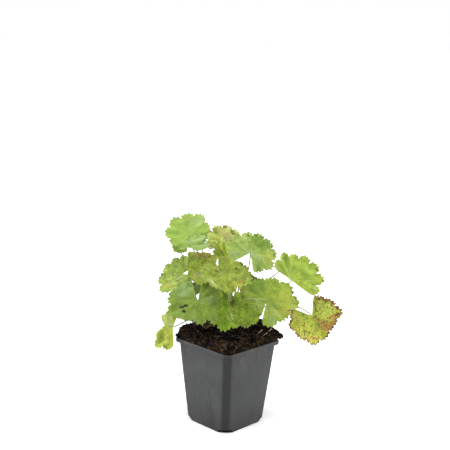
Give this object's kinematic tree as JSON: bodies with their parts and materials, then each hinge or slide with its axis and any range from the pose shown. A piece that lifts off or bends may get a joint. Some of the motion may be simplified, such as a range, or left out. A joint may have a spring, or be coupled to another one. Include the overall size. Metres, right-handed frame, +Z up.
{
  "type": "potted ladys mantle",
  "caption": "Young lady's mantle plant with pleated, scalloped round leaves on thin stalks, growing from heaped compost in a square tapered black nursery pot.",
  "frame": {"origin": "centre of the pot's base, on the ground", "axes": "+Z up; +X and +Y square to the pot's side walls; the plant's fullest side leans towards the corner at +X -Y"},
  "size_m": [0.1883, 0.173, 0.2477],
  "materials": {
    "pot": "matte",
    "soil": "matte",
    "crown": "matte",
    "leaf_lime": "matte",
    "leaf_green": "matte",
    "leaf_yellow": "matte",
    "withered": "matte",
    "straw": "matte"
  },
  "bodies": {
    "root": {"pot": "pot", "soil": "soil", "crown": "crown", "leaf_01": "leaf_lime", "leaf_02": "leaf_lime", "leaf_03": "leaf_green", "leaf_04": "leaf_yellow", "leaf_05": "leaf_green", "leaf_06": "leaf_green", "leaf_07": "leaf_lime", "leaf_08": "leaf_green", "leaf_09": "leaf_yellow", "leaf_10": "leaf_green", "leaf_11": "leaf_yellow", "leaf_12": "leaf_yellow", "leaf_13": "leaf_lime", "leaf_14": "leaf_green", "leaf_15": "leaf_yellow", "leaf_16": "leaf_yellow", "leaf_17": "leaf_yellow", "leaf_18": "leaf_yellow", "leaf_19": "leaf_green", "leaf_20": "leaf_green", "leaf_21": "leaf_green", "leaf_22": "leaf_green", "leaf_23": "leaf_green", "leaf_24": "leaf_green", "leaf_25": "leaf_green", "leaf_26": "leaf_lime", "withered_leaf_1": "withered", "withered_leaf_2": "withered", "dead_stalk": "withered", "straw_1": "straw", "straw_2": "straw"}
  },
  "joints": []
}
